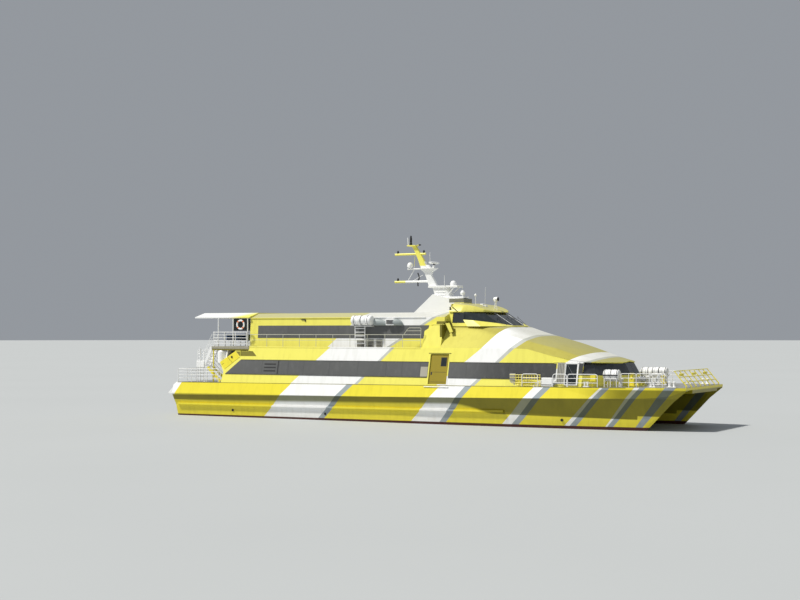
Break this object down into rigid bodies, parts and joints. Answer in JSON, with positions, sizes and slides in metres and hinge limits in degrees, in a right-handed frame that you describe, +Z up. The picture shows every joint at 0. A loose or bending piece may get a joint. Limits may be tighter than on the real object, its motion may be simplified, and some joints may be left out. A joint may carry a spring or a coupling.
{
  "type": "fast passenger catamaran ferry",
  "caption": "Twin-hulled passenger ferry with enclosed saloons on two decks, raised wheelhouse, raked mast, hinged and sliding doors and steerable waterjets.",
  "frame": {"origin": "on the waterline, amidships, on the centreline", "axes": "+X to the bow, +Y to port, +Z up"},
  "size_m": [39.9, 10.1, 14.75],
  "materials": {
    "yellow_paint": "gloss",
    "white_paint": "gloss",
    "deck_grey": "matt non-slip",
    "tinted_glass": "polished",
    "bare_metal": "satin",
    "black_plastic": "matt"
  },
  "bodies": {
    "hull": {"aft_rail_port": "white_paint", "aft_rail_starboard": "white_paint", "bollards_port": "white_paint", "bollards_starboard": "white_paint", "bow_pulpit": "yellow_paint", "bridge_deck": "yellow_paint", "canopy": "white_paint", "centre_raft": "white_paint", "foredeck_raft_port": "white_paint", "foredeck_raft_starboard": "white_paint", "forward_hood": "yellow_paint", "hull_port": "yellow_paint", "hull_starboard": "yellow_paint", "jet_housing_port": "bare_metal", "jet_housing_starboard": "bare_metal", "main_aft_bulkhead": "white_paint", "main_glass_aft_port": "tinted_glass", "main_glass_aft_starboard": "tinted_glass", "main_glass_fore_port": "tinted_glass", "main_glass_fore_starboard": "tinted_glass", "main_side_port": "yellow_paint", "main_side_starboard": "yellow_paint", "mast_column": "white_paint", "mast_fairing": "white_paint", "mooring_winch": "yellow_paint", "nose_glass": "tinted_glass", "nose_wall": "yellow_paint", "side_rail_port": "white_paint", "side_rail_starboard": "white_paint", "stern_stairs_port": "white_paint", "stern_stairs_starboard": "white_paint", "strake_port": "yellow_paint", "strake_starboard": "yellow_paint", "transom_fairing": "white_paint", "upper_aft_rail_port": "white_paint", "upper_aft_rail_starboard": "white_paint", "upper_deck": "deck_grey", "upper_glass_port": "tinted_glass", "upper_glass_starboard": "tinted_glass", "upper_house": "yellow_paint", "upper_raft_port": "white_paint", "upper_raft_starboard": "white_paint", "upper_stern_rail": "white_paint", "vent_house_port": "yellow_paint", "vent_house_starboard": "yellow_paint", "walkway_rail_port": "white_paint", "walkway_rail_starboard": "white_paint", "wheelhouse": "yellow_paint", "wheelhouse_glass": "tinted_glass", "wheelhouse_roof": "yellow_paint"},
    "fore_door_port": {"fore_door_port": "white_paint"},
    "fore_door_starboard": {"fore_door_starboard": "white_paint"},
    "main_aft_door": {"main_aft_door": "white_paint"},
    "radar_scanner": {"radar_scanner": "black_plastic"},
    "reversing_bucket_port": {"reversing_bucket_port": "bare_metal"},
    "reversing_bucket_starboard": {"reversing_bucket_starboard": "bare_metal"},
    "side_door_port": {"side_door_port": "yellow_paint"},
    "side_door_starboard": {"side_door_starboard": "yellow_paint"},
    "steering_nozzle_port": {"steering_nozzle_port": "bare_metal"},
    "steering_nozzle_starboard": {"steering_nozzle_starboard": "bare_metal"}
  },
  "joints": [
    {"name": "side_door_starboard_hinge", "type": "hinge", "parent": "hull", "child": "side_door_starboard", "pos_m": [3.635, -4.64757, 3], "axis": [0, 0.2306, 0.973], "range_deg": [0, 95]},
    {"name": "fore_door_starboard_slide", "type": "slide", "parent": "hull", "child": "fore_door_starboard", "axis": [-0.9917, -0.1289, 0], "range_m": [0, 0.75]},
    {"name": "steering_nozzle_starboard_pivot", "type": "hinge", "parent": "hull", "child": "steering_nozzle_starboard", "pos_m": [-19.16842, -3.7, -0.52], "axis": [0, 0, 1], "range_deg": [-27, 27]},
    {"name": "reversing_bucket_starboard_pivot", "type": "hinge", "parent": "steering_nozzle_starboard", "child": "reversing_bucket_starboard", "pos_m": [-19.41842, -3.7, -0.52], "axis": [0, -1, 0], "range_deg": [0, 75]},
    {"name": "side_door_port_hinge", "type": "hinge", "parent": "hull", "child": "side_door_port", "pos_m": [3.635, 4.64757, 3], "axis": [0, 0.2306, -0.973], "range_deg": [0, 95]},
    {"name": "fore_door_port_slide", "type": "slide", "parent": "hull", "child": "fore_door_port", "axis": [-0.9917, 0.1289, 0], "range_m": [0, 0.75]},
    {"name": "steering_nozzle_port_pivot", "type": "hinge", "parent": "hull", "child": "steering_nozzle_port", "pos_m": [-19.16842, 3.7, -0.52], "axis": [0, 0, 1], "range_deg": [-27, 27]},
    {"name": "reversing_bucket_port_pivot", "type": "hinge", "parent": "steering_nozzle_port", "child": "reversing_bucket_port", "pos_m": [-19.41842, 3.7, -0.52], "axis": [0, -1, 0], "range_deg": [0, 75]},
    {"name": "main_aft_door_hinge", "type": "hinge", "parent": "hull", "child": "main_aft_door", "pos_m": [-14.99, -0.9, 3], "axis": [0, 0, 1], "range_deg": [0, 105]},
    {"name": "radar_scanner_spin", "type": "hinge", "parent": "hull", "child": "radar_scanner", "pos_m": [0.2, 0, 11], "axis": [0, 0, 1], "continuous": true}
  ]
}
